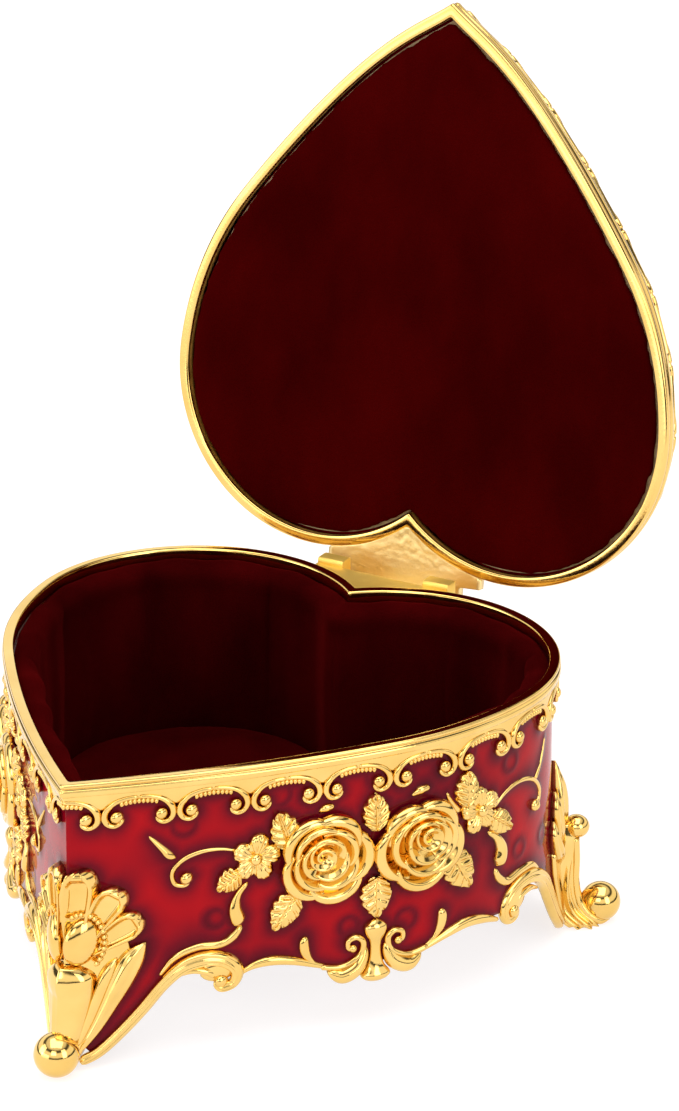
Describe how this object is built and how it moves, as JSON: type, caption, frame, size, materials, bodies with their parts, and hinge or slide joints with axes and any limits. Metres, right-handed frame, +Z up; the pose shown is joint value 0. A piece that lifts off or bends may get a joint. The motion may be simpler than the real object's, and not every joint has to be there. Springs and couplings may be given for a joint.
{
  "type": "wind up music box",
  "caption": "Heart shaped footed trinket box in gilt and red enamel, velvet lined, with a hinged lid and a key wound musical movement under a lined step.",
  "frame": {"origin": "on the table, under the middle of the box around the whole object with its lid open", "axes": "+Z up; -Y towards the heart's tip, +Y towards the hinge; +X to the right as seen from the tip"},
  "size_m": [0.1222, 0.1634, 0.174],
  "materials": {
    "gold": "polished gilt plating on cast zinc, bright highlights",
    "enamel": "deep glossy translucent red enamel over cast metal",
    "velvet": "short pile dark red velvet",
    "card": "plain grey brown card",
    "zinc": "satin cast zinc",
    "steel": "bright steel",
    "brass": "machined brass"
  },
  "bodies": {
    "base": {"base_wall": "enamel", "base_rim": "gold", "rim_scrollwork": "gold", "apron_trim": "gold", "apron_palmettes": "gold", "front_foot": "gold", "left_foot": "gold", "right_foot": "gold", "rose_spray_right": "gold", "rose_spray_left": "gold", "lobe_sprays": "gold", "bottom_plate": "zinc", "plate_screws": "steel", "base_hinge_leaf": "gold", "hinge_pin": "gold", "wall_lining": "velvet", "floor_card": "card", "floor_pad": "velvet", "movement_cover": "velvet", "bedplate": "zinc", "movement_screws": "steel", "spring_housing": "zinc", "mainspring": "steel", "comb": "steel", "comb_screws": "steel", "cylinder_bracket": "brass", "end_bracket": "brass", "governor_frame": "brass", "bracket_screws": "steel", "stop_pivot": "steel"},
    "lid": {"lid_shell": "enamel", "lid_frame": "gold", "lid_border": "gold", "lid_rose_spray": "gold", "lid_hinge_leaf": "gold", "lid_pad_board": "card", "lid_pad": "velvet"},
    "winder": {"winding_arbor": "steel", "drive_gear": "brass", "winding_key": "steel"},
    "cylinder": {"cylinder_barrel": "brass", "cylinder_pins": "brass", "cylinder_shaft": "steel", "cylinder_pinion": "brass", "cylinder_wheel": "brass"},
    "idler": {"idler_shaft": "steel", "idler_pinion": "brass", "worm_wheel": "brass"},
    "governor": {"governor_worm": "steel", "governor_fan": "brass"},
    "stop_lever": {"stop_lever": "steel"}
  },
  "joints": [
    {"name": "lid_hinge", "type": "hinge", "parent": "base", "child": "lid", "pos_m": [0, 0.0491, 0.0531], "axis": [1, 0, 0], "range_deg": [0, 98.9]},
    {"name": "winder_spin", "type": "hinge", "parent": "base", "child": "winder", "pos_m": [-0.00392, -0.03217, 0.0174], "axis": [0, 0, 1], "continuous": true},
    {"name": "cylinder_spin", "type": "hinge", "parent": "base", "child": "cylinder", "pos_m": [0.0047, -0.02191, 0.0258], "axis": [0.6428, 0.766, 0], "continuous": true},
    {"name": "idler_spin", "type": "hinge", "parent": "base", "child": "idler", "pos_m": [-0.00143, -0.01677, 0.0258], "axis": [0.6428, 0.766, 0], "continuous": true},
    {"name": "governor_spin", "type": "hinge", "parent": "base", "child": "governor", "pos_m": [0.00627, 0.00027, 0.0174], "axis": [0, 0, 1], "continuous": true},
    {"name": "stop_lever_turn", "type": "hinge", "parent": "base", "child": "stop_lever", "pos_m": [0.00818, 0.00558, 0.0174], "axis": [0, 0, 1], "range_deg": [0, 25]}
  ],
  "couplings": [
    {"joint": "cylinder_spin", "follows": "winder_spin", "ratio": -3},
    {"joint": "idler_spin", "follows": "winder_spin", "ratio": 9},
    {"joint": "governor_spin", "follows": "winder_spin", "ratio": -162}
  ]
}
